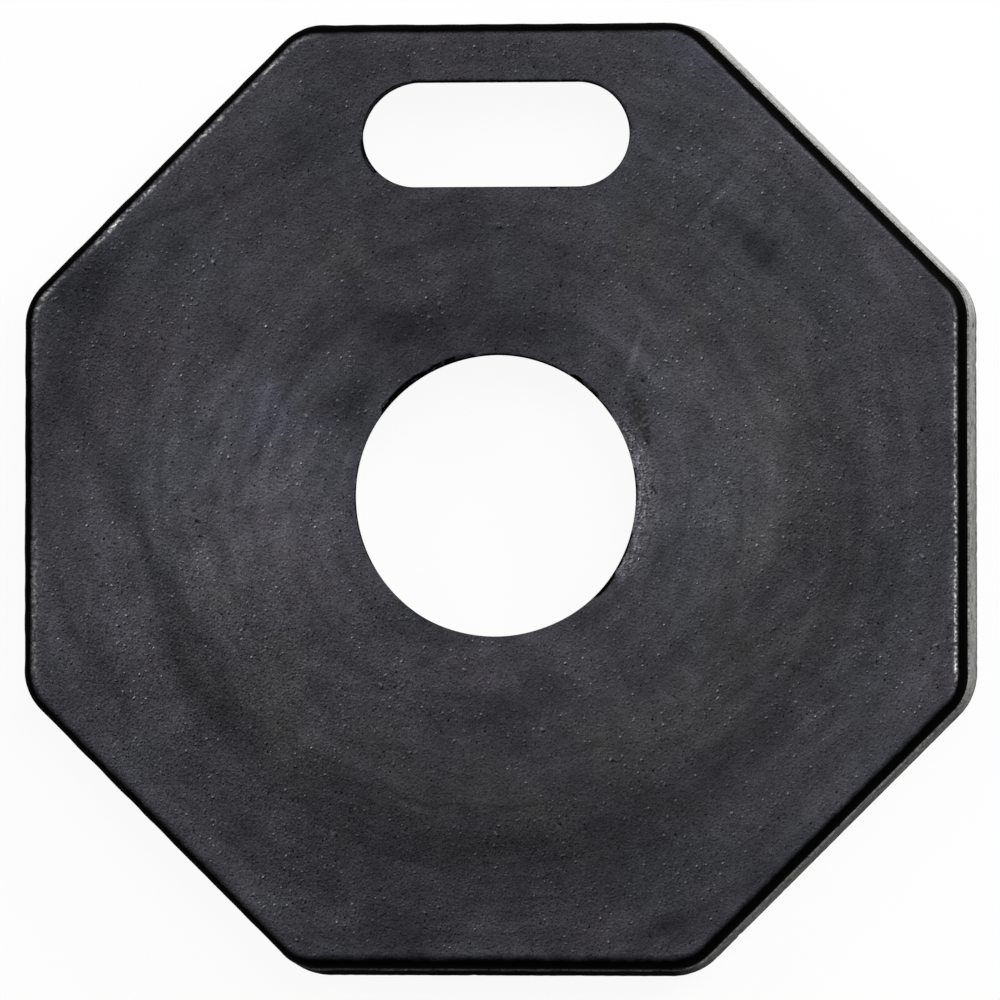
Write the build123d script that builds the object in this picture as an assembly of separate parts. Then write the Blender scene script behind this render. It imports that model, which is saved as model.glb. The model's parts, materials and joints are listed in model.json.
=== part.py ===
from build123d import *
import math
import os

# Slip-over base for a roadside delineator post: an octagonal rubber slab with a round hole for the post and a
# carrying slot. The origin is on the axis of the post hole at the ground, with +Z up and the slot towards +Y.

# Driving dimensions, in millimetres and degrees
FOOTPRINT_ACROSS_FLATS = 406.4
BASE_HEIGHT = 38.1
WALL_DRAFT = 5.5
FOOT_EDGE_RADIUS = 1.5

COVER_LEDGE = 0.7
COVER_UPRIGHT_EDGE = 1.0
COVER_CORNER_RADIUS = 23.5
SHOULDER_RADIUS = 6.0

POST_HOLE_DIAMETER = 118.5
SLOT_LENGTH = 112.5
SLOT_WIDTH = 44.3
GRIP_WIDTH = 25.2
RIM_RADIUS = 0.5
OPENING_DRAFT = 5.5

# Sizes that follow from them
COVER_THICKNESS = SHOULDER_RADIUS + COVER_UPRIGHT_EDGE
BODY_HEIGHT = BASE_HEIGHT - COVER_THICKNESS
WALL_SPREAD = BODY_HEIGHT * math.tan(math.radians(WALL_DRAFT))
BODY_TOP_CORNER_RADIUS = COVER_CORNER_RADIUS + COVER_LEDGE
COVER_APOTHEM = FOOTPRINT_ACROSS_FLATS / 2 - WALL_SPREAD - COVER_LEDGE
SLOT_CENTRE_OFFSET = COVER_APOTHEM - GRIP_WIDTH - SLOT_WIDTH / 2
FLARE_SPREAD = BODY_HEIGHT * math.tan(math.radians(OPENING_DRAFT))


def rounded_octagon(apothem, corner_radius):
    """Octagon with a flat towards each of +X, +Y, -X and -Y and round corners."""
    octagon = RegularPolygon(apothem, 8, major_radius=False, rotation=22.5)
    return fillet(octagon.vertices(), corner_radius)


def post_hole(spread):
    """Circle of the post hole, wider all round by the spread."""
    return Circle(POST_HOLE_DIAMETER / 2 + spread)


def hand_slot(spread):
    """Stadium of the carrying slot, wider all round by the spread."""
    stadium = SlotOverall(SLOT_LENGTH + 2 * spread, SLOT_WIDTH + 2 * spread)
    return Pos(0, SLOT_CENTRE_OFFSET) * stadium


def upright_opening(outline):
    """The space of an opening through the cover, with upright walls."""
    return extrude(Pos(0, 0, BODY_HEIGHT) * outline(0), COVER_THICKNESS)


def flared_opening(outline):
    """The space of an opening through the body, wider towards the ground so that it pulls off its core."""
    return extrude(outline(FLARE_SPREAD), BODY_HEIGHT, taper=OPENING_DRAFT)


def make_top_cover():
    """Upper layer of fine rubber with the rounded shoulder and the rims of both openings."""
    outline = Pos(0, 0, BODY_HEIGHT) * rounded_octagon(COVER_APOTHEM, COVER_CORNER_RADIUS)
    cover = extrude(outline, COVER_THICKNESS)
    cover = fillet(cover.faces().sort_by(Axis.Z)[-1].edges(), SHOULDER_RADIUS)
    cover = cover - upright_opening(post_hole) - upright_opening(hand_slot)
    top_face = cover.faces().sort_by(Axis.Z)[-1]
    rim_edges = [edge for wire in top_face.inner_wires() for edge in wire.edges()]
    return fillet(rim_edges, RIM_RADIUS)


def make_ballast_body():
    """Lower layer of crumb rubber, flared to the ground, with a flat top that carries the cover."""
    outline = rounded_octagon(FOOTPRINT_ACROSS_FLATS / 2, BODY_TOP_CORNER_RADIUS + WALL_SPREAD)
    body = extrude(outline, BODY_HEIGHT, taper=WALL_DRAFT)
    body = body - flared_opening(post_hole) - flared_opening(hand_slot)
    ground_face = body.faces().sort_by(Axis.Z)[0]
    return fillet(ground_face.edges(), FOOT_EDGE_RADIUS)


os.makedirs("parts", exist_ok=True)
export_step(make_top_cover(), "parts/top_cover.step")
export_step(make_ballast_body(), "parts/ballast_body.step")
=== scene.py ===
# %% [markdown]
# The object is the rubber base that drops over a roadside delineator post: a heavy octagonal slab with a
# round hole for the post and a slot to carry it by. This lesson gives it its skin, its light and its camera.
# The imported model comes first. It is a fixed frame in metres.

# %% Load the frame
import bmesh
import bpy
import json
import math
import random
from mathutils import Matrix, Vector, noise
from mathutils.geometry import delaunay_2d_cdt


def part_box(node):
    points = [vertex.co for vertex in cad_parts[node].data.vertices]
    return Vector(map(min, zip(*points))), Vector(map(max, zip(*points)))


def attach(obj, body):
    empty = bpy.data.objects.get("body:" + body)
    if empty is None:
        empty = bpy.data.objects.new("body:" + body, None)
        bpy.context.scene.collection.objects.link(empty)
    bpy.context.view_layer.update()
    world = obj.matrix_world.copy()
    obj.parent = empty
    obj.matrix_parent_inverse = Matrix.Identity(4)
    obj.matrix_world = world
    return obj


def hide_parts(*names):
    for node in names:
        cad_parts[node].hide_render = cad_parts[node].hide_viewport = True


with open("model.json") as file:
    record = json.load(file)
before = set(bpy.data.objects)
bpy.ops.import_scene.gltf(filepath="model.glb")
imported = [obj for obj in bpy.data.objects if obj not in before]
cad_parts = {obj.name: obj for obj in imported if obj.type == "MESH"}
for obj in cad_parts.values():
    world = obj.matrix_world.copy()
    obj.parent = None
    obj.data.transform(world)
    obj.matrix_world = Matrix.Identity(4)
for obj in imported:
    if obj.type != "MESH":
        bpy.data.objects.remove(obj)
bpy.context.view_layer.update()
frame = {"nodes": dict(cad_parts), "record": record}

print("loaded", sorted(frame["nodes"]))

# %% [markdown]
# Heights and reaches are read from the frame, and the post hole's radius from the record's mount. A box
# can't tell a radius or a slot, so those few sizes are written here, in the same words as on the drawing.

# %% Sizes
MM = 0.001
cover_low, cover_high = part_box("top_cover")
body_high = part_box("ballast_body")[1]
TOP, JOINT = cover_high.z, cover_low.z
COVER_REACH, FOOT_REACH = cover_high.x, body_high.x
post_bore = next(mount for mount in frame["record"]["mounts"] if mount["name"] == "post_bore")
POST_HOLE_RADIUS = post_bore["dims"]["r_mm"] * MM

LEDGE = 0.7 * MM
CORNER_RADIUS = 23.5 * MM
SHOULDER_RADIUS = 6.0 * MM
RIM_RADIUS = 0.5 * MM
FOOT_RADIUS = 1.5 * MM
SLOT_LENGTH, SLOT_WIDTH, GRIP_WIDTH = 112.5 * MM, 44.3 * MM, 25.2 * MM
SLOT_CENTRE = Vector((0, COVER_REACH - GRIP_WIDTH - SLOT_WIDTH / 2))
DRAFT = math.radians(5.5)
print(f"cover {2 * COVER_REACH / MM:.1f} mm across, top at {TOP / MM:.1f} mm, joint at {JOINT / MM:.1f} mm")

# %% [markdown]
# Every outline on this base is straight runs and arcs. A Blender curve with a bevel could sweep them, but
# then no place could be worn on its own. So each point of an outline is kept with the direction that
# faces outwards there, and one outline can be pushed in or out to make the rings of a shoulder, a wall or
# a lip.

# %% Runs and bends
SIDES = 8
SIDE_TURN = math.tau / SIDES
QUARTER = math.pi / 2


def direction(angle):
    """Unit vector at an angle from +X."""
    return Vector((math.cos(angle), math.sin(angle)))


def straight(start, end, outward, spacing):
    """Evenly spaced points along a straight run, without its last one."""
    count = max(1, round((end - start).length / spacing))
    return [(start.lerp(end, i / count), outward) for i in range(count)]


def bend(centre, radius, first, last, spacing):
    """Evenly spaced points round an arc, without its last one."""
    count = max(3, round(radius * (last - first) / spacing))
    facings = [direction(first + (last - first) * i / count) for i in range(count)]
    return [(centre + radius * facing, facing) for facing in facings]


corner_bend = bend(Vector((0, 0)), CORNER_RADIUS, 0, SIDE_TURN, MM)
print("points round one corner, 1 mm apart:", len(corner_bend))

# %% [markdown]
# Two shapes are all this base needs: an octagon with round corners for the cover and the ballast, and a
# stadium for the slot. The bore is one full bend. Points lie about a millimetre apart, close enough for
# the finest tear.

# %% Outlines of the base
def octagon(reach, corner, spacing):
    """Octagon with round corners and a flat towards each axis."""
    outline, half = [], (reach - corner) * math.tan(SIDE_TURN / 2)
    for side in range(SIDES):
        turn = side * SIDE_TURN
        outward, along = direction(turn), direction(turn + QUARTER)
        start, end = outward * reach - along * half, outward * reach + along * half
        outline += straight(start, end, outward, spacing)
        outline += bend(outward * (reach - corner) + along * half, corner, turn, turn + SIDE_TURN, spacing)
    return outline


def stadium(centre, length, width, spacing):
    """Two half circles joined by straight runs, along X."""
    radius, half, up = width / 2, Vector(((length - width) / 2, 0)), Vector((0, 1))
    outline = bend(centre + half, radius, -QUARTER, QUARTER, spacing)
    outline += straight(centre + half + up * radius, centre - half + up * radius, up, spacing)
    outline += bend(centre - half, radius, QUARTER, 3 * QUARTER, spacing)
    return outline + straight(centre - half - up * radius, centre + half - up * radius, -up, spacing)


COVER_SPACING, BODY_SPACING, OPENING_SPACING = 1.3 * MM, 1.0 * MM, 0.9 * MM
cover_edge = octagon(COVER_REACH, CORNER_RADIUS, COVER_SPACING)
body_edge = octagon(COVER_REACH + LEDGE, CORNER_RADIUS + LEDGE, BODY_SPACING)
hole_edge = bend(Vector((0, 0)), POST_HOLE_RADIUS, 0, math.tau, OPENING_SPACING)
slot_edge = stadium(SLOT_CENTRE, SLOT_LENGTH, SLOT_WIDTH, OPENING_SPACING)
print("outline points:", len(cover_edge), len(body_edge), len(hole_edge), len(slot_edge))

# %% [markdown]
# A piece is built as a shell of rings, bands between rings, and flats filled with triangles. Modifiers on
# a copy of the solid could add detail too, but this way every point is placed once and the shell stays
# closed. Points also carry painted values, such as how far a point is over the edge, which materials read
# as attributes.

# %% Shell builder
SAME_POINT = 1e-9


class Shell:
    """Gathers the points, faces and painted values of one piece while it is built."""

    def __init__(self, *paints):
        self.points, self.faces = [], []
        self.paints = {name: [] for name in paints}

    def add(self, place, **paint):
        """Adds one point and returns its number."""
        self.points.append(Vector(place))
        for name, values in self.paints.items():
            values.append(paint.get(name, 0.0))
        return len(self.points) - 1

    def bands(self, rings):
        """Joins each ring to the next, which is as long, with quads."""
        for upper, lower in zip(rings, rings[1:]):
            for i in range(len(upper)):
                j = (i + 1) % len(upper)
                self.faces.append((upper[i], upper[j], lower[j], lower[i]))

    def fill(self, outer, holes, loose):
        """Fills the flat inside the outer ring, less the holes, with triangles over the loose points."""
        rings = [outer] + holes
        numbers = [n for ring in rings for n in ring] + loose
        edges, owner = [], {}
        for which, ring in enumerate(rings):
            first = len(owner)
            edges += [(first + i, first + (i + 1) % len(ring)) for i in range(len(ring))]
            owner.update({first + i: which for i in range(len(ring))})
        flat = [self.points[n].to_2d() for n in numbers]
        triangles, origins = delaunay_2d_cdt(flat, edges, [], 0, SAME_POINT)[2:4]
        for triangle in triangles:
            corners = sorted(origins[n][0] for n in triangle)
            owners = {owner.get(n, -1) for n in corners}
            a, b, c = (flat[n] for n in corners)
            inside_ring = (b - a).cross(c - a) > 0
            if len(owners) > 1 or owners == {-1} or inside_ring == (owners == {0}):
                self.faces.append([numbers[n] for n in corners])


print("shell builder ready")

# %% [markdown]
# A shell becomes a mesh with its faces turned outwards. Smooth shading alone would blur the joint and the
# foot, so edges sharper than an angle stay sharp. The painted values become attributes of the mesh, one
# per point.

# %% Mesh piece
def make_piece(name, shell, sharp):
    """Turns a shell into a mesh piece with outward faces, its painted values and a limit for sharp edges."""
    mesh = bpy.data.meshes.new(name)
    mesh.from_pydata(shell.points, [], shell.faces)
    for paint, values in shell.paints.items():
        mesh.attributes.new(paint, "FLOAT", "POINT").data.foreach_set("value", values)
    work = bmesh.new()
    work.from_mesh(mesh)
    bmesh.ops.recalc_face_normals(work, faces=work.faces)
    work.to_mesh(mesh)
    work.free()
    mesh.shade_smooth()
    mesh.set_sharp_from_angle(angle=math.radians(sharp))
    piece = bpy.data.objects.new(name, mesh)
    bpy.context.scene.collection.objects.link(piece)
    print(name, len(mesh.vertices), "points", len(mesh.polygons), "faces")
    return piece


print("mesh maker ready")

# %% [markdown]
# Moulded rubber is never quite even, and this base is worn by places: each side of the octagon has its
# own wear. A noise texture alone would spread it evenly. So one helper gives a smooth chance value for a
# place, and another the value for a side from a row of eight, right side first and anticlockwise, blended
# at the corners.

# %% Chance and sides
def chance(place, size, seed=0):
    """Smooth chance value from 0 to 1 that changes over the given size."""
    shift = Vector((seed * 17.3, seed * 7.1, seed * 3.7))
    return 0.5 + 0.5 * noise.noise(Vector(place).to_3d() / size + shift)


def between(value, low, high):
    """Smooth step from 0 at low to 1 at high."""
    share = min(1, max(0, (value - low) / (high - low)))
    return share * share * (3 - 2 * share)


def by_side(outward, amounts):
    """Value for a direction, from one amount per side."""
    turn = math.atan2(outward.y, outward.x) / SIDE_TURN % SIDES
    side = int(turn)
    here, onward = amounts[side % SIDES], amounts[(side + 1) % SIDES]
    return here + (onward - here) * (turn - side)


print(f"halfway between a side with 0 and one with 1: {by_side(direction(SIDE_TURN / 2), (0, 1) * 4):.2f}")

# %% [markdown]
# The real base falls short of a true octagon by up to 2 mm, and its top dips a little. A lattice could
# bend the piece like that, but would push some of it outwards. These helpers only take rubber away, so
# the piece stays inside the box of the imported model. The rows give, in millimetres, what each side falls
# short.

# %% Edges and dips
COVER_SHORT = (1.9, 0.75, 0.5, 0.15, 0.0, 0.0, 1.0, 0.35)
LEDGE_SHORT = (1.9, 0.75, 0.95, 0.45, 0.25, 0.2, 0.95, 0.35)
FOOT_SHORT = (1.1, 0.0, 1.2, 0.6, 0.2, 0.3, 0.0, 0.25)
EVEN_MARGIN = 12 * MM


def wander(place, outward, short):
    """How far an outer edge draws back from its straight line: a slow wave and its side's shortfall."""
    wave = 0.12 * chance(place, 45 * MM, seed=3) + 0.05 * chance(place, 9 * MM, seed=4)
    return (wave + by_side(outward, short)) * MM


def to_shoulder(place):
    """Distance from a place on top to the line where the shoulder starts, and the side that is nearest."""
    reach, side = max((place.dot(direction(side * SIDE_TURN)), side) for side in range(SIDES))
    return COVER_REACH - SHOULDER_RADIUS - reach, direction(side * SIDE_TURN)


def to_slot(place):
    """Distance from a place on top to the outline of the slot."""
    across, half = place - SLOT_CENTRE, (SLOT_LENGTH - SLOT_WIDTH) / 2
    across.x -= min(half, max(-half, across.x))
    return across.length - SLOT_WIDTH / 2


def dip(place):
    """How far the top face lies below its highest level. It is even along the shoulder and the slot."""
    wave = 0.16 * (chance(place, 70 * MM, seed=1) - 0.5) + 0.06 * (chance(place, 14 * MM, seed=2) - 0.5)
    inside = min(to_shoulder(place)[0], to_slot(place))
    return (0.27 + wave * between(inside, 0, EVEN_MARGIN)) * MM


dips = [dip(place) / MM for place, outward in hole_edge]
print(f"dips round the bore: {min(dips):.2f} to {max(dips):.2f} mm")

# %% [markdown]
# Posts and hands have worn the lips of both openings, and the bore runs a little out of round because it
# was moulded round a worn core. Cutting torn shapes out with a boolean would leave poor triangles.
# Instead each worn stretch is a row with its place round the opening and its depth, and noise breaks it
# up.

# %% Worn lips
def bore_wave(place):
    """How far the bore runs out of round."""
    return (0.9 * chance(place, 30 * MM, seed=8) - 0.55) * MM


hole_edge = [(place + outward * bore_wave(place), outward) for place, outward in hole_edge]
HOLE_WORN = [
    # middle and half spread of a worn stretch in degrees round the opening, depth in millimetres
    (4, 8, 0.12),
    (38, 6, 0.10),
    (51, 8, 1.20),
    (78, 20, 0.12),
    (121, 23, 1.70),
    (188, 23, 0.03),
    (238, 12, 0.03),
    (321, 7, 0.90),
    (337, 9, 0.30),
]
SLOT_WORN = [(45, 42, 0.10), (90, 4, 0.10), (205, 20, 1.00)]
HOLE_SEED, SLOT_SEED = 5, 9


def chip(place, outward, worn, seed):
    """How much wider than moulded a lip is at a place where the rubber is worn or torn."""
    torn = 0.5 * MM * between(chance(place, 5 * MM, seed), 0.74, 0.95)
    rough = 0.75 * chance(place, 11 * MM, seed + 1) + 0.25 * chance(place, 2.4 * MM, seed + 2)
    angle = math.degrees(math.atan2(outward.y, outward.x))
    for middle, spread, depth in worn:
        off = abs((angle - middle + 180) % 360 - 180)
        share = (0.3 + 0.7 * between(rough, 0.22, 0.56)) * (1 - between(off, spread - 3, spread))
        torn = max(torn, depth * MM * share)
    return torn


deepest = max(chip(place, outward, HOLE_WORN, HOLE_SEED) for place, outward in hole_edge)
print(f"lip chips up to {deepest / MM:.2f} mm")

# %% [markdown]
# The cover is the upper layer. Its top is rubbed grey and its shoulder is black, partly the black rubber and
# partly painted shade where the shoulder turns away from the lamps, so the change lies at its own place on
# each side. Some sides have a glinting line just before the black, a painted highlight where the rounded
# edge catches the light. An image could hold this, but values painted on the points need no unwrapping:
# black goes from -1 for grey to 1 for black. The rows say, in millimetres over the edge, where black starts,
# over what width, and where a glint runs.

# %% Black and glint
cover = Shell("black_and_shade", "speck", "glint")
SHADE_BLACK_FROM = (1.7, 1.65, 2.2, 2.9, 2.9, 2.9, 0.7, 1.2)
SHADE_BLACK_OVER = (0.7, 0.9, 1.0, 0.9, 1.2, 1.7, 2.4, 1.5)
GLINT = (1.3, 0.18, 0.0, 1.15, 0.55, 0.0, 0.0, 0.0)
GLINT_AT = (0.8, 1.0, 1.5, 1.8, 1.6, 1.5, 1.5, 1.0)
GLINT_WIDE = (0.7, 0.7, 0.7, 1.1, 1.5, 0.7, 0.7, 0.7)
DEEP_BLACK = 3.0


def shade_blackness(over, outward):
    """How black a place is, as black rubber and painted shade, from how far it lies over the edge of the top
    in millimetres.
    """
    black_and_shade = (over - by_side(outward, SHADE_BLACK_FROM)) / by_side(outward, SHADE_BLACK_OVER)
    return max(-DEEP_BLACK, min(DEEP_BLACK, black_and_shade))


def glinting(over, outward):
    """Strength of the painted highlight line at a place over the edge."""
    off = (over - by_side(outward, GLINT_AT)) / by_side(outward, GLINT_WIDE)
    return by_side(outward, GLINT) * math.exp(-off ** 2)


RIGHT = direction(0)
print(f"1 mm over the right edge: black {shade_blackness(1, RIGHT):.2f}, glint {glinting(1, RIGHT):.2f}")

# %% [markdown]
# The shoulder is a quarter round along the octagon. A bevel would make an even one, but here each ring is
# drawn back by what its side falls short. The last ring drops straight to the joint with the ballast.

# %% Shoulder
SHOULDER_STEPS = 16


def shoulder_rings():
    """Rings from the top face over the shoulder and down to the joint."""
    rings = []
    for step in range(SHOULDER_STEPS + 1):
        turn = step / SHOULDER_STEPS * QUARTER
        over = turn * SHOULDER_RADIUS / MM
        push, drop = SHOULDER_RADIUS * (math.sin(turn) - 1), SHOULDER_RADIUS * (1 - math.cos(turn))
        ring = []
        for place, outward in cover_edge:
            flat = place + outward * (push - wander(place, outward, COVER_SHORT))
            spot = (flat.x, flat.y, TOP - drop - dip(place) * math.cos(turn))
            ring.append(cover.add(spot, black_and_shade=shade_blackness(over, outward), glint=glinting(over, outward)))
        rings.append(ring)
    flats = [place - outward * wander(place, outward, COVER_SHORT) for place, outward in cover_edge]
    return rings + [[cover.add((flat.x, flat.y, JOINT), black_and_shade=DEEP_BLACK) for flat in flats]]


shoulder = shoulder_rings()
cover.bands(shoulder)
print("shoulder rings:", len(shoulder))

# %% [markdown]
# Each opening has a small round lip, larger where it is chipped. The bore's lip is rubbed by posts and stays
# grey, the slot's lip is painted dark as shade where it turns down into the opening, and a torn lip is
# painted black, its bare rubber and the shade in the tear, with a few paler streaks. The inner wall under a
# lip is painted dark too, as shade inside the opening. The rows are tones from the top face down over the
# lip, so the same rings serve all three.

# %% Lips
LIP_STEPS = 5
RUBBED_LIP = (-1.0, -1.0, -0.9, -0.6, -0.2, 0.2)
SHADED_LIP = (-1.0, -0.5, 0.4, 3.0, 2.0, 1.0)
TORN_LIP = (0.4, 3.0, 3.0, 3.0, 2.0, 1.0)
TORN_FROM, RUBBED_UP_TO, STREAKED_FROM = 0.05 * MM, 0.015 * MM, 0.9 * MM
WALL_BACK = 0.3 * MM
LIP_WALL = [
    # height, share of the set-back, painted shade as black
    (TOP - 3 * MM, 0.3, 0.6),
    (JOINT, 1.0, 0.1),
]


def lip_shade(place, torn, step, sound):
    """How black a lip is, as painted shade and black rubber. A sound lip has its own tones, a torn one is
    black with a few paler streaks.
    """
    if torn < TORN_FROM:
        return sound[step] if torn < RUBBED_UP_TO else SHADED_LIP[step]
    is_streak = torn > STREAKED_FROM and step in (1, 2, 3) and chance(place, 6 * MM, 30 + step) > 0.54
    return 0.0 if is_streak else TORN_LIP[step]


def lip_rings(outline, worn, sound, seed):
    """Rings from the top face over the lip of an opening and down its wall to the joint."""
    rings = []
    for step in range(LIP_STEPS + 1):
        turn = step / LIP_STEPS * QUARTER
        ring = []
        for place, outward in outline:
            torn = chip(place, outward, worn, seed)
            size = RIM_RADIUS + torn
            flat = place + outward * size * (1 - math.sin(turn))
            shreds = chance(place * (1 + step), 1.7 * MM, seed + 3) - 0.5
            rough = 0.25 * torn * shreds * math.sin(2 * turn)
            height = TOP - size * (1 - math.cos(turn)) - dip(place) * math.cos(turn) - abs(rough)
            ring.append(cover.add((flat.x, flat.y, height), black_and_shade=lip_shade(place, torn, step, sound)))
        rings.append(ring)
    for height, back, black_and_shade in LIP_WALL:
        flats = [place + outward * back * WALL_BACK for place, outward in outline]
        rings.append([cover.add((flat.x, flat.y, height), black_and_shade=black_and_shade) for flat in flats])
    return rings


hole_lip = lip_rings(hole_edge, HOLE_WORN, RUBBED_LIP, HOLE_SEED)
slot_lip = lip_rings(slot_edge, SLOT_WORN, SHADED_LIP, SLOT_SEED)
cover.bands(hole_lip)
cover.bands(slot_lip)
print("lip rings:", len(hole_lip), len(slot_lip))

# %% [markdown]
# The top face is scattered with moulding pimples, pits, wrinkles and a few nicks. A bump texture would
# only paint them, so each is built into the mesh. First come the helpers that find room: how far a place
# is from every edge and whether another speck is near. Places are drawn by chance, in clusters, as on the
# real face.

# %% Room on top
pick = random.Random(41)
GRID = 3.0 * MM
CLUSTER = 22 * MM
SLOT_MARGIN = 1.1 * MM
CORNER_REACH = COVER_REACH / math.cos(SIDE_TURN / 2) - CORNER_RADIUS * (1 / math.cos(SIDE_TURN / 2) - 1)
taken = {}


def room_on_top(place):
    """Distance from a place on the top face to the nearest edge, negative outside it."""
    inward, side = to_shoulder(place)
    to_side = min(inward, CORNER_REACH - SHOULDER_RADIUS - place.length) - wander(place, side, COVER_SHORT)
    toward = place.normalized()
    worn = chip(toward * POST_HOLE_RADIUS, toward, HOLE_WORN, HOLE_SEED)
    to_hole = place.length - POST_HOLE_RADIUS - worn
    return min(to_side, to_hole - RIM_RADIUS, to_slot(place) - RIM_RADIUS - SLOT_MARGIN)


def scatter(count, margin):
    """Chance places on the top face, in clusters, no nearer to an edge than the margin."""
    places = []
    while len(places) < count:
        place = Vector((pick.uniform(-1, 1), pick.uniform(-1, 1))) * COVER_REACH
        likely = 0.12 + 1.6 * between(chance(place, CLUSTER, seed=21), 0.45, 0.8)
        if pick.random() < likely and room_on_top(place) > margin:
            places.append(place)
    return places


def cell(place):
    """Square of the grid that a place is in."""
    return (math.floor(place.x / GRID), math.floor(place.y / GRID))


def is_clear(place, reach):
    """Whether no speck is near a place."""
    column, row = cell(place)
    squares = [(column + i, row + j) for i in (-1, 0, 1) for j in (-1, 0, 1)]
    near = [found for square in squares for found in taken.get(square, [])]
    return all((place - other).length > reach + size for other, size in near)


between_openings = Vector((0, 0.5 * (POST_HOLE_RADIUS + SLOT_CENTRE.y - SLOT_WIDTH / 2)))
print(f"room halfway between the openings: {room_on_top(between_openings) / MM:.1f} mm")

# %% [markdown]
# A speck is a point inside two small rings, so it is real relief, and it is painted with light and shade
# too. Pimples get a painted highlight on their middle and on the side towards the upper left, and painted
# shade on the lee side, away from the upper left. Pits and nicks are painted dark, as shade in a hollow,
# with a little painted light on their side towards the upper left. A crease or nick is the same thing,
# stretched and bowed, and hollow is the share of the middle's tone that the sides have too.

# %% One speck
LEE = direction(math.radians(-58))
SPECK_SIDES = 6
INNER_RING, OUTER_RING = 0.55, 1.0


def add_top(place, rise=0.0, speck=0.0):
    """One point of the top face, painted black near the edge like the shoulder, as black rubber and shade.
    """
    inward, side = to_shoulder(place)
    level = TOP - dip(place) + rise
    return cover.add((place.x, place.y, level), speck=speck, black_and_shade=shade_blackness(-inward / MM, side))


def add_speck(place, radius, rise, painted_light, shade, stretch=1.0, hollow=0.0):
    """One speck: how far it rises, the painted light of its middle and the painted shade on its lee side."""
    along = direction(pick.uniform(0, math.pi))
    across, bow = Vector((-along.y, along.x)), pick.uniform(-0.25, 0.25) * (stretch - 1)
    made = [add_top(place, rise, painted_light)]
    for reach in (INNER_RING, OUTER_RING):
        for side in range(SPECK_SIDES):
            facing = direction(side * math.tau / SPECK_SIDES + 0.2)
            lee = facing.dot(LEE)
            far = reach * stretch * facing.dot(along)
            aside = reach * facing.dot(across) + bow * far * far / stretch
            spot = place + radius * (along * far + across * aside)
            # Painted highlight on the side towards the upper left, painted shade on the lee side.
            lit = painted_light * (0.6 - 0.6 * lee) if painted_light > 0 else -0.25 * shade * min(0, lee)
            paint = lit + hollow * painted_light - shade * max(0, lee)
            is_inner = reach == INNER_RING
            made.append(add_top(spot, 0.8 * rise if is_inner else 0, paint if is_inner else 0))
    taken.setdefault(cell(place), []).append((place, radius * stretch))
    return made


print("points in a speck:", 1 + 2 * SPECK_SIDES)

# %% [markdown]
# The larger marks come first, so that they find room: nicks, torn pits and wrinkles. Pimples and pits
# follow, many with little tone and a few with much, as chance would have it on a moulded face.

# %% Scatter the specks
NICKS, TORN_PITS, WRINKLES, PIMPLES, PITS = 42, 30, 60, 2450, 1150
WELL_INSIDE, INSIDE = 4 * MM, 1.6 * MM
APART = 0.1 * MM
CUT = -0.3 * MM
loose = []
for place in scatter(NICKS, WELL_INSIDE):
    radius, stretch = pick.uniform(0.28, 0.4) * MM, pick.uniform(1.8, 3.6)
    if is_clear(place, stretch * radius):
        loose += add_speck(place, radius, CUT, -pick.uniform(0.3, 0.9), 0.3, stretch, hollow=0.5)
for place in scatter(TORN_PITS, WELL_INSIDE):
    radius, stretch = pick.uniform(0.5, 0.65) * MM, pick.uniform(1.0, 1.3)
    if is_clear(place, stretch * radius + APART):
        loose += add_speck(place, radius, CUT, -pick.uniform(0.4, 0.8), 0.3, stretch, hollow=0.7)
for place in scatter(WRINKLES, WELL_INSIDE):
    radius, stretch = pick.uniform(0.6, 0.95) * MM, pick.uniform(1.8, 2.6)
    if is_clear(place, stretch * radius):
        painted_light, shade = pick.uniform(0.2, 0.45), pick.uniform(0.4, 0.9)
        loose += add_speck(place, radius, 0.12 * MM, painted_light, shade, stretch)
for place in scatter(PIMPLES, INSIDE):
    radius = pick.uniform(0.5, 0.85) * MM
    painted_light, stretch = min(0.55, 0.12 + pick.expovariate(5.0)), pick.uniform(1.0, 1.5)
    if is_clear(place, stretch * radius + APART):
        rise, shade = 0.12 * MM * painted_light + 0.02 * MM, pick.uniform(0.7, 2.3) * painted_light
        loose += add_speck(place, radius, rise, painted_light, shade, stretch)
for place in scatter(PITS, INSIDE):
    radius = pick.uniform(0.45, 0.8) * MM
    shade, stretch = min(1.2, 0.5 + pick.expovariate(4.0)), pick.uniform(1.0, 1.5)
    if is_clear(place, stretch * radius + APART):
        loose += add_speck(place, radius, -0.2 * MM * shade, -0.8 * shade, shade, stretch)
print("speck points:", len(loose))

# %% [markdown]
# In some places the skin of the rubber has creased into small heaps of wrinkles, mostly towards the lower
# left. They could be part of the scatter, but on the real base they lie in groups, so each group is a row
# here.

# %% Creased places
CREASED = [
    # x, y and spread in millimetres, number of creases in a group
    (-162, -35, 3, 14),
    (-153, -57, 5, 34),
    (-155, -83, 4, 10),
    (-130, -99, 4, 14),
    (-121, -120, 4, 26),
    (-126, 99, 4, 10),
    (-131, 83, 4, 9),
    (-149, 72, 5, 12),
    (-94, 71, 5, 10),
    (-114, 20, 4, 8),
    (-153, -6, 5, 9),
    (85, 117, 5, 10),
    (157, -80, 4, 9),
    (93, -79, 4, 7),
    (74, 60, 4, 7),
]
for x, y, spread, count in CREASED:
    for crease in range(count):
        place = Vector((pick.gauss(x, spread), pick.gauss(y, spread))) * MM
        radius, stretch = pick.uniform(0.45, 0.75) * MM, pick.uniform(1.2, 2.4)
        if room_on_top(place) > WELL_INSIDE and is_clear(place, stretch * radius):
            painted_light, shade = pick.uniform(0.25, 0.65), pick.uniform(0.8, 1.6)
            loose += add_speck(place, radius, 0.1 * MM, painted_light, shade, stretch)
print("with creases:", len(loose))

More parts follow.
